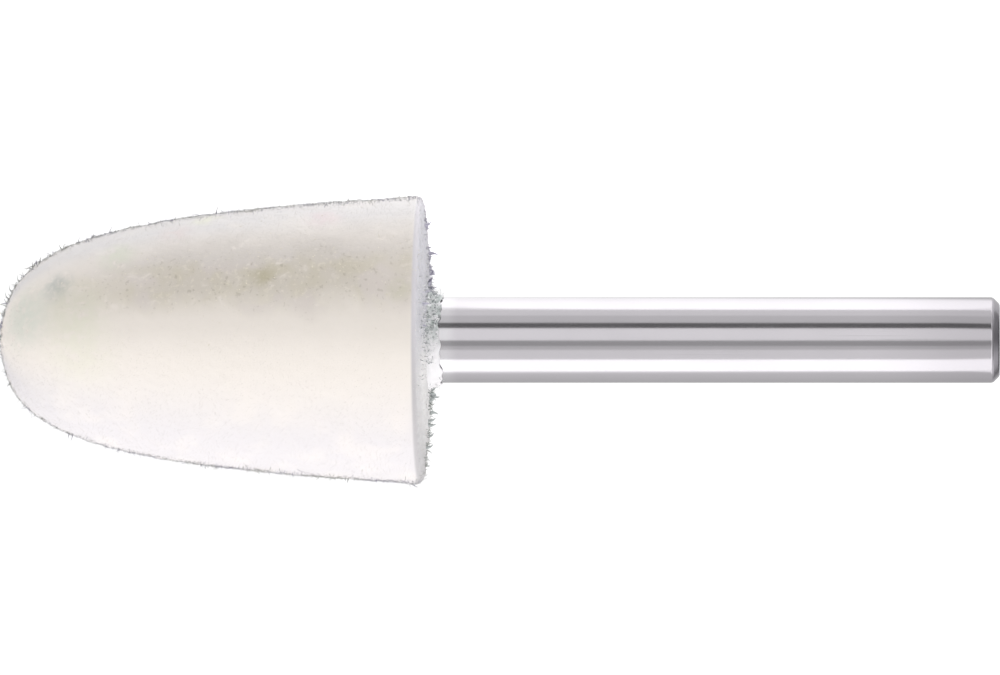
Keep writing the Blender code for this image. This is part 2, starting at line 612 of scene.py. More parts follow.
@dataclass(frozen=True)
class PressedFelt:
    """Hard pressed merino felt, ground to shape: matt, off-white and slightly mottled by handling.

    A span around the tool is in degrees, one along it is in shares of the head's length, and one of
    a grain is in its own values from 0 to 1. Its tones by side, at the rim and on the back face are
    partly painted light and shade.
    """

    # Base tone, left on the side towards -Y: the felt's cooler colour, made darker there as painted shade
    # that tones down the strong light on that side.
    clean: str = "#d4d0d2"
    warm: str = "#e9e2db"
    # Painted shade: a darker tone on the side towards +Y, from 40 to 66 degrees past the top onwards.
    upper: str = "#d6d3d3"
    # Painted shade: a darker tone on the underside towards +Y, away from the nose.
    under: str = "#b9b7ba"
    soil: str = "#cac3b9"
    olive: str = "#c7c0b2"
    rosy: str = "#ccc4be"
    dusty: str = "#ccc6c1"
    speck: str = "#968d7e"
    pale: str = "#e4ddd0"
    cloud_size: float = 3.0 * MM
    blotch_size: float = 1.5 * MM
    mottle_size: float = 0.8 * MM
    speckle_size: float = 0.30 * MM
    stray: float = 8.0
    near_shade_around: Span = (-52.0, -6.0)
    warm_clouds: Span = (0.45, 0.75)
    warm_share: float = 0.3
    upper_shade_around: Span = (40.0, 66.0)
    underside_shade_around: tuple[Span, Span] = ((88.0, 116.0), (178.0, 150.0))
    underside_shade_along: Span = (0.2, 0.7)
    skirt_around: tuple[Span, Span] = ((-8.0, 8.0), (50.0, 25.0))
    skirt_share: float = 0.20
    band_around: tuple[Span, Span] = ((8.0, 25.0), (64.0, 38.0))
    band_along: Span = (0.0, 0.45)
    band_fading: Span = (0.80, 0.92)
    band_left: float = 0.78
    band_mottle: Span = (0.10, 0.42)
    soil_blotches: Span = (0.34, 0.60)
    rosy_clouds: Span = (0.50, 0.62)
    dusty_around: Span = (30.0, 44.0)
    patch_mottle: Span = (0.2, 0.6)
    patch_core: float = 0.1
    specks_around: Span = (52.0, 34.0)
    speck_grain: Span = (0.37, 0.29)
    speck_mottle: Span = (0.80, 0.48)
    speck_share: float = 0.36
    pale_grain: Span = (0.60, 0.70)
    pale_share: float = 0.30
    far_around: Span = (-25.0, 15.0)
    edge_blend: float = 0.007
    # Painted light and shade: darker tones on the rim and on the back face's far side, and a lighter one
    # near the bore towards -Y.
    edges: tuple[PaintedEdgeShade, ...] = (
        PaintedEdgeShade(0.9722, "#b9b6b8", "#c7c4c9"),
        PaintedEdgeShade(0.9825, "#cbc9ca", "#b4b3b9"),
        PaintedEdgeShade(0.9890, "#e6e4e4", "#b6b5bb"),
    )
    patches: tuple[Patch, ...] = (
        Patch(4.3 * MM, 36.0, 1.8 * MM, "#a6aca9", 0.65),
        Patch(18.9 * MM, 29.0, 1.3 * MM, "#aaa382", 0.55),
        Patch(22.9 * MM, 63.0, 2.0 * MM, "#dccdcf", 0.60),
        Patch(28.4 * MM, 21.0, 1.4 * MM, "#b9bb93", 0.28),
        Patch(8.5 * MM, 50.0, 2.0 * MM, "#cdd3c0", 0.45),
        Patch(12.5 * MM, 62.0, 1.8 * MM, "#dccdcb", 0.45),
        Patch(14.5 * MM, 74.0, 1.6 * MM, "#e0e2c8", 0.45),
        Patch(2.0 * MM, 20.0, 3.5 * MM, "#d2d5cb", 0.75),
        Patch(5.6 * MM, 17.0, 3.2 * MM, "#cfcebd", 0.60),
        Patch(6.0 * MM, -4.0, 4.0 * MM, "#e2e0d0", 0.50),
    )
    nap_grains: tuple[tuple[tuple[float, float, float], float], ...] = (
        ((1.0, 0.35, 1.0), 0.15 * MM),
        ((0.35, 1.0, 0.8), 0.17 * MM),
    )
    nap_height: float = 0.06 * MM
    bump_around: Span = (-45.0, -8.0)
    bump_strength: Span = (0.10, 0.25)
    roughness: Span = (0.86, 1.0)

    def material(self, axis: ToolAxis, outline: "HeadOutline") -> bpy.types.Material:
        """Builds the felt's material.

        Args:
            axis: The tool's axis.
            outline: The head's form, which places the patches on the surface.

        Returns:
            The material.
        """
        material, tree, shader = new_material("pressed_wool_felt", self.clean)
        pattern = self.pattern(tree)
        band = self.band(pattern)
        color = self.wool_color(pattern, band)
        color = self.patched_color(pattern, color, axis, outline)
        color = self.specked_color(pattern, color, band)
        color = self.painted_edge_shade(pattern, color)
        tree.links.new(color, shader.inputs["Base Color"])
        self.add_nap(pattern, shader)
        return material

    def pattern(self, tree: bpy.types.NodeTree) -> FeltPattern:
        """Adds the coordinates and the grains.

        Args:
            tree: The material's tree.

        Returns:
            Their sockets.
        """
        place = add_node(tree, "ShaderNodeTexCoord").outputs["Object"]
        map_place = add_node(tree, "ShaderNodeUVMap", uv_map=UV_MAP).outputs["UV"]
        split = add_node(tree, "ShaderNodeSeparateXYZ", {"Vector": map_place})
        turn = {"Value": split.outputs["X"], "To Min": -180.0, "To Max": 180.0}
        around = add_node(tree, "ShaderNodeMapRange", turn, clamp=False).outputs["Result"]
        cloud = grain(tree, place, self.cloud_size, 2.0, 0.3)
        wander = {"Value": cloud, "To Min": -self.stray, "To Max": self.stray}
        shift = add_node(tree, "ShaderNodeMapRange", wander).outputs["Result"]
        strayed = add_node(tree, "ShaderNodeMath", {"Value": around, "Value_001": shift})
        return FeltPattern(
            tree=tree,
            place=place,
            around=around,
            strayed=strayed.outputs[0],
            along=split.outputs["Y"],
            cloud=cloud,
            blotch=grain(tree, place, self.blotch_size, 1.0, 0.3),
            mottle=grain(tree, place, self.mottle_size, 2.0, 0.5),
            speckle=grain(tree, place, self.speckle_size, 1.0),
        )

    def band(self, pattern: FeltPattern) -> bpy.types.NodeSocket:
        """Adds the share of soil in the soiled band along the head.

        Args:
            pattern: The felt's coordinates and grains.

        Returns:
            The socket with the share.
        """
        return product(
            pattern.tree,
            between(pattern.tree, pattern.strayed, self.band_around),
            ramp(pattern.tree, pattern.along, self.band_along),
            ramp(pattern.tree, pattern.along, self.band_fading, (1.0, self.band_left)),
        )

    def wool_color(self, pattern: FeltPattern, band: bpy.types.NodeSocket) -> bpy.types.NodeSocket:
        """Adds the felt's tones, some of them painted shade on its sides, with the soiled band over them.

        Args:
            pattern: The felt's coordinates and grains.
            band: The share of soil in the band.

        Returns:
            The socket with the colour.
        """
        tree, around, strayed, cloud = pattern.tree, pattern.around, pattern.strayed, pattern.cloud
        # Painted shade on the underside towards +Y.
        under = between(tree, around, self.underside_shade_around)
        under = product(tree, under, ramp(tree, pattern.along, self.underside_shade_along))
        warm = product(tree, ramp(tree, cloud, self.warm_clouds), self.warm_share)
        skirt = product(tree, between(tree, strayed, self.skirt_around), self.skirt_share)
        soil = layered(
            tree,
            linear(self.olive),
            (ramp(tree, pattern.blotch, self.soil_blotches), linear(self.soil)),
            (ramp(tree, cloud, self.rosy_clouds), linear(self.rosy)),
            (ramp(tree, strayed, self.dusty_around), linear(self.dusty)),
        )
        return layered(
            tree,
            linear(self.clean),
            # The warm tone takes over above the side towards -Y; the darker tone below it is partly painted
            # shade.
            (ramp(tree, around, self.near_shade_around), linear(self.warm)),
            (ramp(tree, around, self.upper_shade_around), linear(self.upper)),
            (under, linear(self.under)),
            (warm, linear(self.warm)),
            (skirt, linear(self.soil)),
            (product(tree, band, ramp(tree, pattern.mottle, self.band_mottle)), soil),
        )

    def patched_color(
        self, pattern: FeltPattern, color: bpy.types.NodeSocket, axis: ToolAxis, outline: "HeadOutline"
    ) -> bpy.types.NodeSocket:
        """Lays the round patches of soil over a colour.

        Args:
            pattern: The felt's coordinates and grains.
            color: The colour underneath.
            axis: The tool's axis.
            outline: The head's form.

        Returns:
            The socket with the colour.
        """
        tree = pattern.tree
        uneven = ramp(tree, pattern.mottle, self.patch_mottle)
        for patch in self.patches:
            middle = axis.point(outline.radius_at(patch.height), patch.height, patch.around)
            apart = {"Vector": pattern.place, "Vector_001": middle}
            away = add_node(tree, "ShaderNodeVectorMath", apart, operation="DISTANCE").outputs["Value"]
            inside = ramp(tree, away, (patch.size, self.patch_core * patch.size))
            share = product(tree, inside, uneven, patch.strength)
            color = layered(tree, color, (share, linear(patch.color)))
        return color

    def specked_color(
        self, pattern: FeltPattern, color: bpy.types.NodeSocket, band: bpy.types.NodeSocket
    ) -> bpy.types.NodeSocket:
        """Lays the band's dark specks and pale fibres over a colour.

        Args:
            pattern: The felt's coordinates and grains.
            color: The colour underneath.
            band: The share of soil in the band.

        Returns:
            The socket with the colour.
        """
        tree = pattern.tree
        soiled = product(tree, band, ramp(tree, pattern.strayed, self.specks_around))
        specks = ramp(tree, pattern.speckle, self.speck_grain)
        uneven = ramp(tree, pattern.mottle, self.speck_mottle)
        dark = product(tree, specks, soiled, uneven, self.speck_share)
        light = product(tree, ramp(tree, pattern.speckle, self.pale_grain), soiled, self.pale_share)
        return layered(tree, color, (dark, linear(self.speck)), (light, linear(self.pale)))

    def painted_edge_shade(self, pattern: FeltPattern, color: bpy.types.NodeSocket) -> bpy.types.NodeSocket:
        """Lays the painted light and shade of the rim and the back face over a colour.

        Args:
            pattern: The felt's coordinates and grains.
            color: The colour underneath.

        Returns:
            The socket with the colour.
        """
        tree = pattern.tree
        far = ramp(tree, pattern.around, self.far_around)
        for edge in self.edges:
            reached = ramp(tree, pattern.along, (edge.start, edge.start + self.edge_blend))
            tone = layered(tree, linear(edge.near), (far, linear(edge.far)))
            color = layered(tree, color, (reached, tone))
        return color

    def add_nap(self, pattern: FeltPattern, shader: bpy.types.Node) -> None:
        """Gives the felt its matted surface: fibres of about 0.03 mm, drawn 0.15 mm wide so that they show.

        Args:
            pattern: The felt's coordinates and grains.
            shader: The felt's shader.
        """
        tree = pattern.tree
        strands = []
        for scale, width in self.nap_grains:
            lying = add_node(tree, "ShaderNodeMapping", {"Vector": pattern.place, "Scale": scale})
            strands.append(grain(tree, lying.outputs["Vector"], width, 2.0, 1.2))
        crossing = {"Value": strands[0], "Value_001": strands[1]}
        matted = add_node(tree, "ShaderNodeMath", crossing, operation="MAXIMUM").outputs[0]
        uneven = add_node(tree, "ShaderNodeMath", {"Value": matted, "Value_001": pattern.mottle})
        strength = ramp(tree, pattern.around, self.bump_around, self.bump_strength)
        height = {"Height": uneven.outputs[0], "Strength": strength, "Distance": self.nap_height}
        bump = add_node(tree, "ShaderNodeBump", height)
        tree.links.new(bump.outputs["Normal"], shader.inputs["Normal"])
        dulled = {"Value": pattern.speckle, "To Min": self.roughness[0], "To Max": self.roughness[1]}
        rough = add_node(tree, "ShaderNodeMapRange", dulled)
        tree.links.new(rough.outputs["Result"], shader.inputs["Roughness"])
        shader.inputs["IOR"].default_value = 1.5
        shader.inputs["Specular IOR Level"].default_value = 0.25
        shader.inputs["Sheen Weight"].default_value = 0.15
        shader.inputs["Sheen Roughness"].default_value = 0.5


@dataclass(frozen=True)
class LooseWool:
    """Wool fibres that have worked loose: dull, two-toned; dark greys in them are painted shade, white a
    painted highlight.
    """

    name: str
    color: str
    other: str
    spread: float = 1.5 * MM
    drift: float = 0.0
    blend: Span = (0.42, 0.58)

    def material(self) -> bpy.types.Material:
        """Builds the fibres' material: two tones that change in patches and, by the drift, along Y.

        Returns:
            The material.
        """
        material, tree, shader = new_material(self.name, self.color)
        place = add_node(tree, "ShaderNodeTexCoord").outputs["Object"]
        side = add_node(tree, "ShaderNodeSeparateXYZ", {"Vector": place}).outputs["Y"]
        shift = product(tree, side, -self.drift / MM)
        tone = {"Value": grain(tree, place, self.spread), "Value_001": shift}
        mixed = add_node(tree, "ShaderNodeMath", tone)
        share = ramp(tree, mixed.outputs[0], self.blend)
        color = layered(tree, linear(self.color), (share, linear(self.other)))
        tree.links.new(color, shader.inputs["Base Color"])
        shader.inputs["Roughness"].default_value = 0.85
        shader.inputs["Specular IOR Level"].default_value = 0.2
        return material


@dataclass(frozen=True)
class GroundSteel:
    """Bright tool steel bar, centreless ground: fine rings round the bar and a few marks along it.

    A scale counts the lumps of grain once around the bar and once along the 70 mm tool, so the rings
    are 0.05 mm apart, and a mark is 0.12 mm wide and 14 mm long.
    """

    color: str = "#b2afb3"
    dull: str = "#a4a2a5"
    edge: str = "#d2d2d2"
    # The steel turns darker towards the shank's end.
    darker_end_tone: str = "#a3a0a4"
    film: str = "#b9b7ba"
    darker_end_span: Span = (0.86, 0.99)
    film_edge: Span = (0.461, 0.446)
    ring_scale: tuple[float, float, float] = (1.5, 1400.0, 1.0)
    mark_scale: tuple[float, float, float] = (160.0, 5.0, 1.0)
    mark_grain: Span = (0.66, 0.74)
    mark_share: float = 0.35
    mark_roughness: float = 0.08
    haze_size: float = 4.0 * MM
    haze_share: float = 0.5
    roughness: Span = (0.10, 0.17)
    ring_height: float = 0.002 * MM

    def material(self) -> bpy.types.Material:
        """Builds the steel's material.

        Returns:
            The material.
        """
        material, tree, shader = new_material("ground_steel", self.color)
        map_place = add_node(tree, "ShaderNodeUVMap", uv_map=UV_MAP).outputs["UV"]
        place = add_node(tree, "ShaderNodeTexCoord").outputs["Object"]
        along = add_node(tree, "ShaderNodeSeparateXYZ", {"Vector": map_place}).outputs["Y"]
        rings = add_node(tree, "ShaderNodeMapping", {"Vector": map_place, "Scale": self.ring_scale})
        marks = add_node(tree, "ShaderNodeMapping", {"Vector": map_place, "Scale": self.mark_scale})
        ring = grain(tree, rings.outputs["Vector"], 1.0, 1.0)
        scratch = ramp(tree, grain(tree, marks.outputs["Vector"], 1.0, 1.0), self.mark_grain)
        haze = grain(tree, place, self.haze_size, 3.0)
        color = layered(
            tree,
            linear(self.color),
            (product(tree, haze, self.haze_share), linear(self.dull)),
            (product(tree, scratch, self.mark_share), linear(self.dull)),
            (ramp(tree, along, self.darker_end_span), linear(self.darker_end_tone)),
            (ramp(tree, along, self.film_edge), linear(self.film)),
        )
        tree.links.new(color, shader.inputs["Base Color"])
        shader.inputs["Metallic"].default_value = 1.0
        shader.inputs["Specular Tint"].default_value = linear(self.edge)
        hazy = {"Value": haze, "To Min": self.roughness[0], "To Max": self.roughness[1]}
        rough = add_node(tree, "ShaderNodeMapRange", hazy).outputs["Result"]
        scored = {"Value": rough, "Value_001": product(tree, scratch, self.mark_roughness)}
        tree.links.new(add_node(tree, "ShaderNodeMath", scored).outputs[0], shader.inputs["Roughness"])
        cut = {"Value": ring, "Value_001": product(tree, scratch, -1.0)}
        height = add_node(tree, "ShaderNodeMath", cut).outputs[0]
        relief = {"Height": height, "Strength": 0.10, "Distance": self.ring_height}
        bump = add_node(tree, "ShaderNodeBump", relief)
        tree.links.new(bump.outputs["Normal"], shader.inputs["Normal"])
        return material


@dataclass(frozen=True)
class TurnedSteel:
    """The chamfer, left as turned: duller and darker than the ground bar, with fine turning rings."""

    color: str = "#8c898d"
    dark: str = "#77747a"
    ring_scale: tuple[float, float, float] = (6.0, 2600.0, 1.0)
    ring_height: float = 0.003 * MM

    def material(self) -> bpy.types.Material:
        """Builds the chamfer's material.

        Returns:
            The material.
        """
        material, tree, shader = new_material("turned_steel", self.color)
        map_place = add_node(tree, "ShaderNodeUVMap", uv_map=UV_MAP).outputs["UV"]
        rings = add_node(tree, "ShaderNodeMapping", {"Vector": map_place, "Scale": self.ring_scale})
        ring = grain(tree, rings.outputs["Vector"], 1.0, 1.0)
        color = layered(tree, linear(self.color), (ring, linear(self.dark)))
        tree.links.new(color, shader.inputs["Base Color"])
        shader.inputs["Metallic"].default_value = 1.0
        shader.inputs["Roughness"].default_value = 0.34
        relief = {"Height": ring, "Strength": 0.15, "Distance": self.ring_height}
        bump = add_node(tree, "ShaderNodeBump", relief)
        tree.links.new(bump.outputs["Normal"], shader.inputs["Normal"])
        return material


@dataclass(frozen=True)
class CuredBond:
    """Cured resin adhesive, pale and half glossy, with felt fibres and soil stuck in it."""

    pale: str = "#eceaec"
    green: str = "#b9bfbd"
    dark: str = "#777c7b"
    soiled_turn: Span = (0.44, 0.57)
    lump_size: float = 0.55 * MM
    lump_grain: Span = (0.3, 0.6)
    stroke_size: float = 0.30 * MM
    stroke_grain: Span = (0.54, 0.64)
    roughness: Span = (0.35, 0.75)

    def material(self) -> bpy.types.Material:
        """Builds the bond's material: soiled on the side towards +Y and clean on the other.

        Returns:
            The material.
        """
        material, tree, shader = new_material("cured_adhesive", self.pale)
        place = add_node(tree, "ShaderNodeTexCoord").outputs["Object"]
        map_place = add_node(tree, "ShaderNodeUVMap", uv_map=UV_MAP).outputs["UV"]
        around = add_node(tree, "ShaderNodeSeparateXYZ", {"Vector": map_place}).outputs["X"]
        soiled = ramp(tree, around, self.soiled_turn)
        lumps = ramp(tree, grain(tree, place, self.lump_size, 3.0, 1.5), self.lump_grain)
        strokes = ramp(tree, grain(tree, place, self.stroke_size, 2.0, 2.5), self.stroke_grain)
        color = layered(
            tree,
            linear(self.pale),
            (product(tree, soiled, lumps), linear(self.green)),
            (product(tree, soiled, strokes), linear(self.dark)),
        )
        tree.links.new(color, shader.inputs["Base Color"])
        dulled = {"Value": soiled, "To Min": self.roughness[0], "To Max": self.roughness[1]}
        rough = add_node(tree, "ShaderNodeMapRange", dulled)
        tree.links.new(rough.outputs["Result"], shader.inputs["Roughness"])
        shader.inputs["IOR"].default_value = 1.5
        return material


@dataclass(frozen=True)
class HeadOutline:
    """The head's form: a blunt bullet with a rounded rim, a slightly swollen back and a drilled hole."""

    length: float = 30.0 * MM
    radius: float = 10.0 * MM
    nose_fullness: float = 6.8 * MM
    flank_fullness: float = 22.5 * MM
    flank_taper: float = math.radians(3.4)
    rim_fillet: float = 0.5 * MM
    back_crown: float = 0.4 * MM
    bore_radius: float = 3.25 * MM
    bore_floor: float = 11.4 * MM
    drill_point: float = math.radians(118.0)
    mouth_depth: float = 0.3 * MM

    def back_height(self, radius: float) -> float:
        """Height of the swollen back face at a distance from the axis."""
        return self.length - self.back_crown * (radius / (self.radius - self.rim_fillet)) ** 2

    def rim_point(self, angle: float) -> tuple[float, float]:
        """The point of the rim's fillet at an angle from square to the axis."""
        edge = self.radius - self.rim_fillet
        height = self.back_height(edge) - self.rim_fillet + self.rim_fillet * math.sin(angle)
        return (edge + self.rim_fillet * math.cos(angle), height)

    def flank(self, points: int) -> Outline:
        """The flank's curve, from the rim to the tip.

        Args:
            points: How many points it gets.

        Returns:
            The curve's points.
        """
        rim = Vector((*self.rim_point(self.flank_taper), 0.0))
        along = Vector((-math.sin(self.flank_taper), -math.cos(self.flank_taper), 0.0))
        rim_handle = rim + self.flank_fullness * along
        tip_handle = Vector((self.nose_fullness, 0.0, 0.0))
        curve = interpolate_bezier(rim, rim_handle, tip_handle, Vector((0.0, 0.0, 0.0)), points)
        return [(point.x, point.y) for point in curve]

    def radius_at(self, height: float) -> float:
        """The flank's radius at a height above the tip."""
        return min(self.flank(200), key=lambda point: abs(point[1] - height))[0]

    def outside(self, back_rings: int, rim_rings: int, flank_rings: int) -> Outline:
        """The outside, from the mouth of the hole over the back and the rim to the tip.

        Args:
            back_rings: How many points the back face gets.
            rim_rings: How many the rim's fillet gets.
            flank_rings: How many the flank gets.

        Returns:
            The outline.
        """
        step = (self.radius - self.rim_fillet - self.bore_radius) / back_rings
        crown = [self.bore_radius + i * step for i in range(back_rings)]
        back = [(radius, self.back_height(radius)) for radius in crown]
        turn = math.pi / 2.0 - self.flank_taper
        rim = [self.rim_point(math.pi / 2.0 - turn * i / rim_rings) for i in range(rim_rings)]
        return back + rim + self.flank(flank_rings)

    def hole(self) -> Outline:
        """The drilled hole.

        Returns:
            Its points, from the middle of its conical floor to just under its mouth.
        """
        point = self.bore_radius / math.tan(self.drill_point / 2.0)
        mouth = self.back_height(self.bore_radius) - self.mouth_depth
        wall = [(self.bore_radius, self.bore_floor), (self.bore_radius, mouth)]
        return [(0.0, self.bore_floor - point), *wall]


@dataclass(frozen=True)
class FibreCoat:
    """One kind of fibre on the felt, with how many there are and how they stand."""

    name: str
    form: FibreForm
    wool: LooseWool
    where: str
    seed: int
    per_mm2: float
    length: float
    root_radius: float
    bend: float
    lean: float
    smallest: float = 0.35

    def grow(self, felt: bpy.types.Object) -> bpy.types.Object:
        """Grows the coat on the felt.

        Args:
            felt: The finished felt surface.

        Returns:
            The coat as one piece.
        """
        values = {
            "Where": self.where,
            "Number Per mm2": self.per_mm2,
            "Length": self.length,
            "Root Radius": self.root_radius,
            "Bend": self.bend,
            "Lean": math.radians(self.lean),
            "Smallest": self.smallest,
            "Seed": self.seed,
            "Finish": self.wool.material(),
        }
        coat = bake_nodes(felt, fibre_tree(self.form), values, self.name)
        coat.data.shade_smooth()
        return coat


class SurfacePart(Enum):
    """The parts of the head's surface that wear in their own way."""

    HOLE = "hole"
    BACK = "back"
    RIM = "rim"
    FLANK = "flank"


@dataclass(frozen=True)
class HeadRing:
    """One ring of the head's points: its place, how steep the felt is there, and which part it is on."""

    radius: float
    height: float
    steepness: float
    part: SurfacePart


@dataclass(frozen=True)
class HeadWear:
    """How the felt is worn, torn and soiled, and where dark fibres paint shade along its outline. A span
    holds the values over which something sets in.

    An upward span is in the share by which the felt faces up, one of a turn is in degrees from straight
    up, and one of a height is measured from the tip of the nose. Far is the side towards +Y, and near
    the one towards -Y.
    """

    nap_upward: Span = (0.24, 0.08)
    below_upward: Span = (-0.08, -0.58)
    loose_upward: Span = (0.34, 0.10)
    rough_upward: Span = (0.34, 0.08)
    edge_upward: Span = (0.26, 0.14)
    nose_height: Span = (8.0 * MM, 4.0 * MM)
    band_height: Span = (3.0 * MM, 11.0 * MM)
    band_turn: float = 30.0
    band_width: float = 24.0
    nap_lost_below: float = 0.8
    pills_lost_below: float = 0.85
    pill_spacing: float = 0.55 * MM
    pill_noise: Span = (0.17, 0.37)
    pills_at_nose: float = 0.15
    least_pills: float = 0.30
    least_hooks: float = 0.10
    near_hooks: float = 0.25
    least_relief: float = 0.13
    torn_turn: Span = (92.0, 137.0)
    whole_at_rim: float = 0.65
    torn_far: float = 0.10
    fringe_turn: Span = (78.0, 92.0)
    fringe_share: float = 0.50
    fouled_turn: Span = (-40.0, 20.0)
    smear_reach: float = 2.6 * MM
    # each clump's turn, distance from the axis and size
    clumps: tuple[tuple[float, float, float], ...] = (
        (90.0, 3.9 * MM, 0.28 * MM),
        (-90.0, 3.55 * MM, 0.13 * MM),
        (97.0, 6.6 * MM, 0.20 * MM),
    )


@dataclass
class FeltHead:
    """The felt head: its body and the fibres that stand out of it."""

    axis: ToolAxis
    outline: HeadOutline = field(default_factory=HeadOutline)
    finish: PressedFelt = field(default_factory=PressedFelt)
    wear: HeadWear = field(default_factory=HeadWear)
    segments: int = 288
    back_rings: int = 34
    rim_rings: int = 8
    flank_rings: int = 200
    relief: Relief = Relief("relief", 1.6 * MM, 0.20 * MM, 0.42 * MM, 0.42 * MM)
    torn_relief: Relief = Relief("ragged", 0.9 * MM, 0.75 * MM, 0.35 * MM, 0.48 * MM)
    coats: tuple[FibreCoat, ...] = (
        # Dark nap where the felt faces sideways: painted shade that draws the dark fuzzy outline.
        FibreCoat(
            "felt_nap",
            FibreForm.POINT,
            LooseWool("nap_wool_painted_shade", "#7c7986", "#80817a"),
            where="nap",
            seed=11,
            per_mm2=66.0,
            length=0.18 * MM,
            root_radius=0.012 * MM,
            bend=0.0,
            lean=18.0,
            smallest=0.5,
        ),
        FibreCoat(
            "felt_down",
            FibreForm.POINT,
            LooseWool("down_wool", "#dcd8d6", "#dfdbd6"),
            where="down",
            seed=13,
            per_mm2=16.0,
            length=0.14 * MM,
            root_radius=0.012 * MM,
            bend=0.0,
            lean=24.0,
            smallest=0.5,
        ),
        # Dark grey pilled wool: painted shade of the fuzzy outline.
        FibreCoat(
            "pilled_wool",
            FibreForm.CURL,
            LooseWool("pilled_fibres_painted_shade", "#9b98a8", "#9a9b97"),
            where="pills",
            seed=23,
            per_mm2=6.0,
            length=0.40 * MM,
            root_radius=0.026 * MM,
            bend=1.00,
            lean=44.0,
            smallest=0.40,
        ),
        # Dark grey hooked fibres at the nose: painted shade of the fuzzy outline.
        FibreCoat(
            "nose_hooks",
            FibreForm.CURL,
            LooseWool("hooked_fibres_painted_shade", "#9895a3", "#959692"),
            where="hooks",
            seed=29,
            per_mm2=2.6,
            length=0.54 * MM,
            root_radius=0.060 * MM,
            bend=1.10,
            lean=36.0,
            smallest=0.50,
        ),
        FibreCoat(
            "pressed_flecks",
            FibreForm.CURL,
            LooseWool("pale_wool", "#efe9da", "#dbd5c6"),
            where="band",
            seed=37,
            per_mm2=1.7,
            length=0.13 * MM,
            root_radius=0.045 * MM,
            bend=0.2,
            lean=90.0,
        ),
        # Lavender-grey torn tufts on the back face: their tone is painted shade.
        FibreCoat(
            "torn_tufts",
            FibreForm.TUFT,
            LooseWool("torn_wool_painted_shade", "#bdbac8", "#b6bbba", spread=2.0 * MM, drift=0.05),
            where="ragged",
            seed=41,
            per_mm2=1.0,
            length=0.72 * MM,
            root_radius=0.20 * MM,
            bend=0.45,
            lean=26.0,
        ),
        # Dark torn ends: painted shade of the back face's ragged outline.
        FibreCoat(
            "torn_ends",
            FibreForm.CURL,
            LooseWool("torn_ends_painted_shade", "#7f7c8f", "#788079", spread=2.0 * MM, drift=0.05),
            where="ragged_under",
            seed=43,
            per_mm2=8.0,
            length=0.48 * MM,
            root_radius=0.036 * MM,
            bend=0.8,
            lean=40.0,
        ),
        # Fibres smeared on the back face: their dark grey is painted shade and their white a painted
        # highlight.
        FibreCoat(
            "smeared_wool",
            FibreForm.CURL,
            LooseWool("smeared_fibres_painted_light", "#8a8f90", "#eeeeee", spread=0.35 * MM),
            where="smear",
            seed=45,
            per_mm2=8.0,
            length=0.55 * MM,
            root_radius=0.036 * MM,
            bend=0.8,
            lean=48.0,
        ),
        # Dark clumps of hooked wool: painted shade.
        FibreCoat(
            "hooked_clumps",
            FibreForm.TUFT,
            LooseWool("clumped_wool_painted_shade", "#8f8c9c", "#858e8b", spread=0.4 * MM, drift=0.02),
            where="clumps",
            seed=47,
            per_mm2=18.0,
            length=0.82 * MM,
            root_radius=0.09 * MM,
            bend=0.70,
            lean=30.0,
        ),
    )

    def build(self) -> list[bpy.types.Object]:
        """Builds the felt body and its coats.

        Returns:
            The pieces, the body first.
        """
        outside = self.outline.outside(self.back_rings, self.rim_rings, self.flank_rings)
        profile = self.outline.hole() + outside
        form = turned("felt_form", profile, self.segments, self.axis, self.outline.length)
        self.mark_surface(form, profile)
        finish = self.finish.material(self.axis, self.outline)
        pressed = self.relief.press(form, finish, "felt_surface")
        body = self.torn_relief.press(pressed, finish, "felt_body")
        body.data.shade_smooth()
        for stage in (form, pressed):
            bpy.data.objects.remove(stage)
        coats = [coat.grow(body) for coat in self.coats]
        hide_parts("felt_head")
        return [body, *coats]

    def mark_surface(self, form: bpy.types.Object, profile: Outline) -> None:
        """Marks each point of the head with how much of every coat and relief it carries.

        Args:
            form: The turned head.
            profile: The outline that it was turned from.
        """
        marks: dict[str, list[float]] = {}
        for i in range(1, len(profile) - 1):
            before, after = profile[i - 1], profile[i + 1]
            slope = math.atan2(after[1] - before[1], after[0] - before[0])
            ring = HeadRing(*profile[i], abs(math.sin(slope)), self.part_of(i))
            for j in range(self.segments):
                around = 360.0 * j / self.segments - 180.0
                for name, value in self.marks_at(ring, around).items():
                    marks.setdefault(name, []).append(value)
        for name, values in marks.items():
            mark(form, name, values + [values[0], values[-1]])

    def part_of(self, i: int) -> SurfacePart:
        """Finds the part of the head that a point of its profile is on.

        Args:
            i: The point's number in the profile.

        Returns:
            The part.
        """
        beyond = i - len(self.outline.hole())
        if beyond < 0:
            return SurfacePart.HOLE
        if beyond < self.back_rings:
            return SurfacePart.BACK
        return SurfacePart.RIM if beyond < self.back_rings + self.rim_rings else SurfacePart.FLANK

    def marks_at(self, ring: HeadRing, around: float) -> dict[str, float]:
        """How much of each coat and relief one point of the head carries.

        Args:
            ring: The ring that the point is on.
            around: Its turn, in degrees from straight up.

        Returns:
            The name of each mark and its share at the point.
        """
        marks = dict.fromkeys(MARKS, 0.0)
        if ring.part is SurfacePart.HOLE:
            return marks
        upward = ring.steepness * math.cos(math.radians(around))
        marks["relief"] = at_least(self.wear.least_relief, rise(upward, self.wear.rough_upward))
        if ring.part is SurfacePart.BACK:
            marks["down"] = 1.0
            marks.update(self.back_marks(ring, around))
        else:
            marks.update(self.flank_marks(ring, around, upward))
        return marks

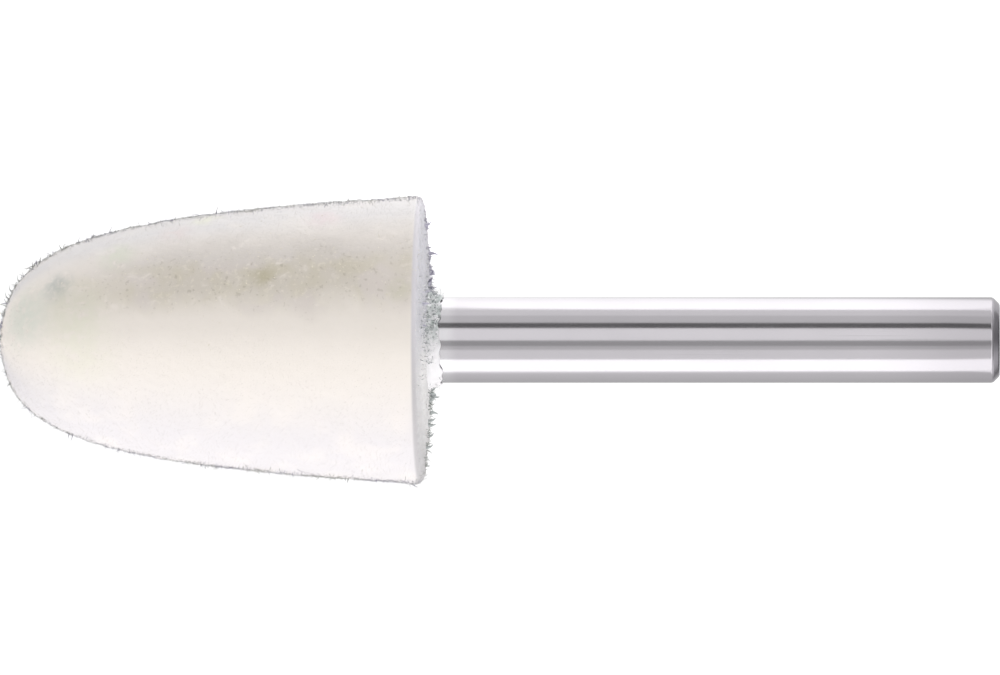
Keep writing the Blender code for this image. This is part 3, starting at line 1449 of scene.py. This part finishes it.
    def back_marks(self, ring: HeadRing, around: float) -> dict[str, float]:
        """The marks of the torn back face, whose lower half is the most torn.

        Args:
            ring: The ring that the point is on.
            around: Its turn, in degrees from straight up.

        Returns:
            The name of each mark and its share at the point.
        """
        wear, bore = self.wear, self.outline.bore_radius
        place = self.axis.point(ring.radius, ring.height, around)
        share = (ring.radius - bore) / (self.outline.radius - bore)
        under = rise(abs(around), wear.torn_turn)
        torn = 1.0 - wear.whole_at_rim * share
        fringe = wear.fringe_share * share * rise(abs(around), wear.fringe_turn)
        aside = ring.radius * math.sin(math.radians(around)) / wear.smear_reach
        smear = max(1.0 - share**2, 0.0) * math.exp(-(aside**2)) * (1.0 - under)
        clumped = sum(
            math.exp(-(((place - self.axis.point(out, ring.height, turn)).length / size) ** 2))
            for turn, out, size in wear.clumps
        )
        return {
            "ragged": torn * max(wear.torn_far if around > 0.0 else 0.0, under),
            "ragged_under": max(torn * under, fringe),
            "smear": smear * rise(around, wear.fouled_turn),
            "clumps": min(clumped, 1.0),
        }

    def flank_marks(self, ring: HeadRing, around: float, upward: float) -> dict[str, float]:
        """The marks of the rim and the flank: dark nap and loose wool at the sides, which paint shade along
        the outline, and soil in a band on top.

        Args:
            ring: The ring that the point is on.
            around: Its turn, in degrees from straight up.
            upward: The share by which the felt faces up there.

        Returns:
            The name of each mark and its share at the point.
        """
        wear = self.wear
        place = self.axis.point(ring.radius, ring.height, around)
        below = rise(upward, wear.below_upward)
        along = rise(ring.height, wear.band_height)
        standing = ring.steepness**2 if ring.part is SurfacePart.RIM else 1.0
        # The dark nap and loose wool stand where the felt faces sideways, as painted shade along its
        # outline.
        napped = rise(upward, wear.nap_upward) * (1.0 - wear.nap_lost_below * below)
        loose = rise(upward, wear.loose_upward) * (1.0 - wear.pills_lost_below * below)
        pilled = noise.noise(place / wear.pill_spacing) + wear.pills_at_nose * (1.0 - along)
        edge = rise(abs(upward), wear.edge_upward) * (1.0 if around > 0.0 else wear.near_hooks)
        hooked = at_least(wear.least_hooks, rise(ring.height, wear.nose_height))
        return {
            "nap": napped * standing,
            "down": 1.0 - napped,
            "pills": loose * at_least(wear.least_pills, rise(pilled, wear.pill_noise)) * standing,
            "hooks": edge * hooked * standing,
            "band": along * math.exp(-(((around - wear.band_turn) / wear.band_width) ** 2)),
        }


@dataclass
class Shank:
    """The round steel shank: ground along its length, with a turned chamfer and a keyed hidden end."""

    axis: ToolAxis
    radius: float = 3.0 * MM
    end: float = 70.0 * MM
    root: float = 12.0 * MM
    head_length: float = 30.0 * MM
    end_chamfer: float = 0.5 * MM
    lead_chamfer: float = 0.8 * MM
    edge_break: float = 0.12 * MM
    groove_count: int = 5
    groove_pitch: float = 3.0 * MM
    groove_width: float = 1.2 * MM
    groove_depth: float = 0.4 * MM
    groove_flank: float = 0.3 * MM
    segments: int = 160
    free_steps: int = 12
    sharp_angle: float = math.radians(35.0)

    def outline(self) -> Outline:
        """The shank's outline, with every edge softened by the edge break.

        Returns:
            Its points, from the middle of the end face to the middle of the hidden end.
        """
        soft = self.edge_break
        slant = soft * math.sqrt(0.5)
        flat = 0.25 * soft
        reach, sag = 0.3 * soft, 0.15 * soft
        inner = self.radius - self.end_chamfer
        shoulder = self.end - self.end_chamfer
        points = [
            (0.0, self.end),
            (inner * 0.5, self.end),
            (inner - soft, self.end),
            (inner - reach, self.end - sag),
            (inner + slant, self.end - slant),
            (inner + slant + flat, self.end - slant - flat),
            (self.radius - slant - flat, shoulder + slant + flat),
            (self.radius - slant, shoulder + slant),
            (self.radius - sag, shoulder - reach),
            (self.radius, shoulder - soft),
        ]
        step = (shoulder - self.head_length) / self.free_steps
        free = [self.head_length + step * i for i in range(self.free_steps - 1, 0, -1)]
        points += [(self.radius, height) for height in free]
        stretch = (self.groove_count - 1) * self.groove_pitch + self.groove_width
        top = self.root + (self.head_length - self.root + stretch) / 2.0
        for i in range(self.groove_count):
            upper = top - i * self.groove_pitch
            lower = upper - self.groove_width
            points.append((self.radius, upper))
            points.append((self.radius - self.groove_depth, upper - self.groove_flank))
            points.append((self.radius - self.groove_depth, lower + self.groove_flank))
            points.append((self.radius, lower))
        points += [
            (self.radius, self.root + self.lead_chamfer),
            (self.radius - self.lead_chamfer, self.root),
            (0.0, self.root),
        ]
        return points

    def build(self) -> list[bpy.types.Object]:
        """Builds the shank.

        Returns:
            The shank as one piece.
        """
        shank = turned("steel_shank", self.outline(), self.segments, self.axis, self.end)
        shank.data.materials.append(GroundSteel().material())
        shank.data.materials.append(TurnedSteel().material())
        shoulder = self.end - self.end_chamfer
        inner = self.radius - self.end_chamfer
        for face in shank.data.polygons:
            height = (face.center - self.axis.tip).dot(self.axis.along)
            out = (face.center - self.axis.tip - height * self.axis.along).length
            if height > shoulder and out > inner:
                face.material_index = 1
        shank.data.set_sharp_from_angle(angle=self.sharp_angle)
        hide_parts("shank")
        return [shank]


@dataclass
class BondBead:
    """The cured adhesive: the film in the hole and the crumpled bead round the root of the shank."""

    axis: ToolAxis
    head: HeadOutline
    shank: Shank
    wall: float = 0.15 * MM
    floor: float = 0.5 * MM
    bead_height: float = 1.1 * MM
    overlap: float = 0.20 * MM
    lip: float = 0.1 * MM
    clearance: float = 0.05 * MM
    sink: float = 0.25 * MM
    segments: int = 200
    bead_rings: int = 30
    film_sink: float = 0.30 * MM
    smooth_turn: float = -50.0
    smooth_width: float = 22.0
    smooth_share: float = 0.93
    # each wave's count around the bead, phase and depth
    waves: tuple[tuple[float, float, float], ...] = (
        (3.0, 1.0, 0.07 * MM),
        (8.0, 2.4, 0.06 * MM),
        (19.0, 0.5, 0.05 * MM),
    )
    relief: Relief = Relief("open_bead", 0.70 * MM, 0.34 * MM, 0.22 * MM, 0.26 * MM)
    # Fibres stuck in the bead: their dark grey is painted shade and their white a painted highlight.
    coat: FibreCoat = FibreCoat(
        "bead_fibres",
        FibreForm.CURL,
        LooseWool("bead_wool_painted_light", "#81888a", "#f0f0f0", spread=0.35 * MM),
        where="open_bead",
        seed=53,
        per_mm2=10.0,
        length=0.55 * MM,
        root_radius=0.034 * MM,
        bend=0.9,
        lean=65.0,
    )

    def outline(self) -> tuple[Outline, int, int]:
        """The bond's outline, up its inside, over the bead and down its outside.

        Returns:
            Its points, the first point of the open bead, and the one after its last.
        """
        inner = self.shank.radius + self.clearance
        outer = inner + self.wall
        base = self.shank.root - self.clearance
        top = self.head.length + self.bead_height
        bead_radius = self.head.bore_radius + self.overlap
        foot = self.head.back_height(bead_radius) + self.clearance
        points = [(0.0, base), (inner, base + self.clearance), (inner, top)]
        first = len(points)
        for i in range(self.bead_rings):
            angle = math.pi / 2.0 * (1.0 - i / (self.bead_rings - 1))
            radius = inner + self.lip + (bead_radius - inner - self.lip) * (1.0 - math.sin(angle))
            points.append((radius, foot + self.lip + (top - foot - self.lip) * (1.0 - math.cos(angle))))
        last = len(points)
        points += [
            (bead_radius, foot - self.sink),
            (outer, self.head.back_height(outer) - self.film_sink),
            (outer, base - self.floor),
            (0.0, base - self.floor - outer / math.tan(self.head.drill_point / 2.0)),
        ]
        return points, first, last

    def build(self) -> list[bpy.types.Object]:
        """Builds the bond and the fibres stuck in its bead.

        Returns:
            The bond and its fibres.
        """
        outline, first, last = self.outline()
        form = turned("bond_form", outline, self.segments, self.axis, self.head.length)
        open_bead = []
        for i in range(1, len(outline) - 1):
            amount = math.sqrt(math.sin(math.pi * rise(i, (first, last))))
            for j in range(self.segments):
                around = 360.0 * j / self.segments - 180.0
                smooth = math.exp(-(((around - self.smooth_turn) / self.smooth_width) ** 2))
                open_bead.append(amount * (1.0 - self.smooth_share * smooth))
        mark(form, "open_bead", open_bead + [0.0, 0.0])
        self.crumple(form, first, last)
        bond = self.relief.press(form, CuredBond().material(), "adhesive_bead")
        bond.data.shade_smooth()
        bpy.data.objects.remove(form)
        fibres = self.coat.grow(bond)
        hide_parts("adhesive")
        return [bond, fibres]

    def crumple(self, bond: bpy.types.Object, first: int, last: int) -> None:
        """Draws the open end of the bead back unevenly along the shank, by the sum of a few waves.

        Args:
            bond: The turned bond.
            first: The first point of the bead in the outline.
            last: The one after its last.
        """
        for i in range(first - 2, last - 1):
            share = min(1.0 - (i - first + 1) / (last - first), 1.0)
            for j in range(self.segments):
                around = 2.0 * math.pi * j / self.segments
                shift = sum(
                    depth * (math.sin(count * around + phase) - 1.0) for count, phase, depth in self.waves
                )
                bond.data.vertices[i * self.segments + j].co += share**2 * shift * self.axis.along


@dataclass(frozen=True)
class SoftBox:
    """A long soft light that runs along the tool, placed by the angles between which it is seen."""

    name: str
    start: float
    end: float
    radiance: float


@dataclass
class Studio:
    """A pale table, soft lights along both sides and a camera that looks down square to the tool."""

    axis: ToolAxis
    table_size: float = 5.0
    table_drop: float = 0.05 * MM
    lit_across: Span = (3.6 * MM, 8.0 * MM)
    lit_along: Span = (-14.0 * MM, -5.0 * MM)
    lit_beyond: Span = (36.5 * MM, 39.5 * MM)
    lit_near: Span = (-15.0 * MM, -180.0 * MM)
    table_glow: float = 1.0
    near_glow: float = 2.0
    far_glow: float = 1.25
    shank_glow: float = 2.4
    end_glow: float = 2.0
    light_distance: float = 0.8
    light_length: float = 1.8
    surround: float = 0.22
    end_lift: float = math.radians(35.0)
    end_size: tuple[float, float] = (1.4, 0.5)
    end_radiance: float = 0.8
    card_corners: tuple[tuple[float, float], ...] = (
        (35.2 * MM, -6.2 * MM),
        (103.0 * MM, -5.4 * MM),
        (103.0 * MM, 14.0 * MM),
        (40.2 * MM, 9.0 * MM),
    )
    camera_distance: float = 0.808
    camera_turn: float = math.radians(2.5)
    lens: float = 415.0
    aim_along: float = 35.0 * MM
    aim_side: float = 0.18 * MM
    boxes: tuple[SoftBox, ...] = (
        SoftBox("near_side_light", -90.5, -54.0, 2.22),
        SoftBox("near_top_light", -54.0, -26.0, 1.10),
        SoftBox("near_top_edge", -26.0, -16.0, 0.72),
        SoftBox("top_fill", -16.0, -1.0, 0.40),
        SoftBox("far_top_light", -1.0, 32.2, 1.27),
        SoftBox("far_side_light", 47.0, 69.0, 0.82),
        SoftBox("far_low_light", 69.0, 91.0, 1.07),
    )

    def build(self) -> None:
        """Builds the table, the backdrop, the lights and the camera."""
        self.table()
        self.card()
        self.backdrop()
        self.side_lights()
        self.end_lights()
        world = bpy.data.worlds.new("studio_air")
        world.use_nodes = True
        gray = (self.surround, self.surround, self.surround, 1.0)
        world.node_tree.nodes["Background"].inputs["Color"].default_value = gray
        bpy.context.scene.world = world
        self.camera()

    def table(self) -> None:
        """A light table, brighter beside the shank on its far side."""
        bpy.ops.mesh.primitive_grid_add(
            x_subdivisions=8, y_subdivisions=8, size=self.table_size, location=(0.0, 0.0, -self.table_drop)
        )
        table = bpy.context.object
        table.name = "light_table"
        material, tree, shader = new_material("lit_opal_glass", "#f2f2f2")
        place = add_node(tree, "ShaderNodeTexCoord").outputs["Object"]
        split = add_node(tree, "ShaderNodeSeparateXYZ", {"Vector": place})
        x, y = split.outputs["X"], split.outputs["Y"]
        near = ramp(tree, y, self.lit_near, (self.table_glow, self.near_glow))
        far = ramp(tree, x, self.lit_along, (self.far_glow, self.shank_glow))
        side = ramp(tree, y, self.lit_across, (near, far))
        glow = ramp(tree, x, self.lit_beyond, (side, self.end_glow))
        shader.inputs["Base Color"].default_value = (0.08, 0.08, 0.08, 1.0)
        shader.inputs["Roughness"].default_value = 0.9
        shader.inputs["Specular IOR Level"].default_value = 0.0
        shader.inputs["Emission Color"].default_value = (1.0, 1.0, 1.0, 1.0)
        tree.links.new(glow, shader.inputs["Emission Strength"])
        table.data.materials.append(material)

    def card(self) -> None:
        """A dark card on the table, beyond the shank's end, that the chamfer reflects."""
        mesh = bpy.data.meshes.new("dark_card")
        mesh.from_pydata([(x, y, 0.0) for x, y in self.card_corners], [], [(0, 1, 2, 3)])
        mesh.materials.append(new_material("dark_card", "#4a4a4c")[0])
        card = bpy.data.objects.new("dark_card", mesh)
        bpy.context.collection.objects.link(card)
        card.visible_camera = False

    def backdrop(self) -> None:
        """A pale dome that only the camera sees, behind the table's edge."""
        bpy.ops.mesh.primitive_uv_sphere_add(segments=64, ring_count=32, radius=0.48 * self.table_size)
        dome = bpy.context.object
        dome.name = "backdrop"
        material, _, shader = new_material("pale_backdrop", "#f4f4f4")
        shader.inputs["Base Color"].default_value = (0.0, 0.0, 0.0, 1.0)
        shader.inputs["Specular IOR Level"].default_value = 0.0
        shader.inputs["Emission Color"].default_value = linear("#f6f6f6")
        shader.inputs["Emission Strength"].default_value = 1.0
        dome.data.materials.append(material)
        for ray in ("diffuse", "glossy", "transmission", "volume_scatter", "shadow"):
            setattr(dome, f"visible_{ray}", False)

    def hang(
        self, name: str, size: tuple[float, float], radiance: float, right: Vector, out: Vector
    ) -> bpy.types.Object:
        """Hangs a soft light that faces the tool.

        Args:
            name: The light's name.
            size: Its length and its width.
            radiance: How bright its surface looks.
            right: The direction of its length.
            out: The direction from the tool to the light, square to its length.

        Returns:
            The light.
        """
        data = bpy.data.lights.new(name, "AREA")
        data.shape = "RECTANGLE"
        data.size, data.size_y = size
        data.energy = radiance * math.pi * data.size * data.size_y
        lamp = bpy.data.objects.new(name, data)
        turn = Matrix((right, out.cross(right), out)).transposed()
        lamp.matrix_world = Matrix.Translation(self.light_distance * out) @ turn.to_4x4()
        bpy.context.scene.collection.objects.link(lamp)
        return lamp

    def side_lights(self) -> None:
        """Hangs the long soft lights along both sides of the tool."""
        for box in self.boxes:
            middle = math.radians((box.start + box.end) / 2.0)
            half = math.radians((box.end - box.start) / 2.0)
            size = (self.light_length, 2.0 * self.light_distance * math.tan(half))
            out = Vector((0.0, math.sin(middle), math.cos(middle)))
            self.hang(box.name, size, box.radiance, Vector((1.0, 0.0, 0.0)), out)

    def end_lights(self) -> None:
        """Hangs a light beyond each end of the tool, which shows only in the steel."""
        for name, side in (("nose_end_light", -1.0), ("shank_end_light", 1.0)):
            out = Vector((side * math.cos(self.end_lift), 0.0, math.sin(self.end_lift)))
            lamp = self.hang(name, self.end_size, self.end_radiance, Vector((0.0, side, 0.0)), out)
            lamp.visible_camera = False
            lamp.visible_diffuse = False

    def camera(self) -> None:
        """Places the camera over the tool, square to its axis but for a small turn."""
        up = self.axis.up
        back = math.cos(self.camera_turn) * up + math.sin(self.camera_turn) * self.axis.along
        right = math.cos(self.camera_turn) * self.axis.along - math.sin(self.camera_turn) * up
        aim = self.axis.point(0.0, self.aim_along) + self.aim_side * self.axis.side
        data = bpy.data.cameras.new("camera")
        data.lens = self.lens
        data.sensor_width = 36.0
        data.clip_start = 0.05
        data.clip_end = 20.0
        camera = bpy.data.objects.new("camera", data)
        turn = Matrix((right, back.cross(right), back)).transposed()
        camera.matrix_world = Matrix.Translation(aim + self.camera_distance * back) @ turn.to_4x4()
        bpy.context.scene.collection.objects.link(camera)
        bpy.context.scene.camera = camera


def main() -> None:
    """Dresses the tool and sets up the studio."""
    bpy.context.scene.view_settings.view_transform = "Standard"
    axis = ToolAxis.from_record(frame["record"], Shank.end)
    head = FeltHead(axis)
    shank = Shank(axis)
    bond = BondBead(axis, head.outline, shank)
    for slot, assembly in (("felt", head), ("steel", shank), ("bond", bond)):
        for piece in assembly.build():
            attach(piece, BODY)
            triangles = sum(len(face.vertices) - 2 for face in piece.data.polygons)
            log.info("%s: %d triangles", piece.name, triangles)
    Studio(axis).build()


if __name__ == "__main__":
    main()
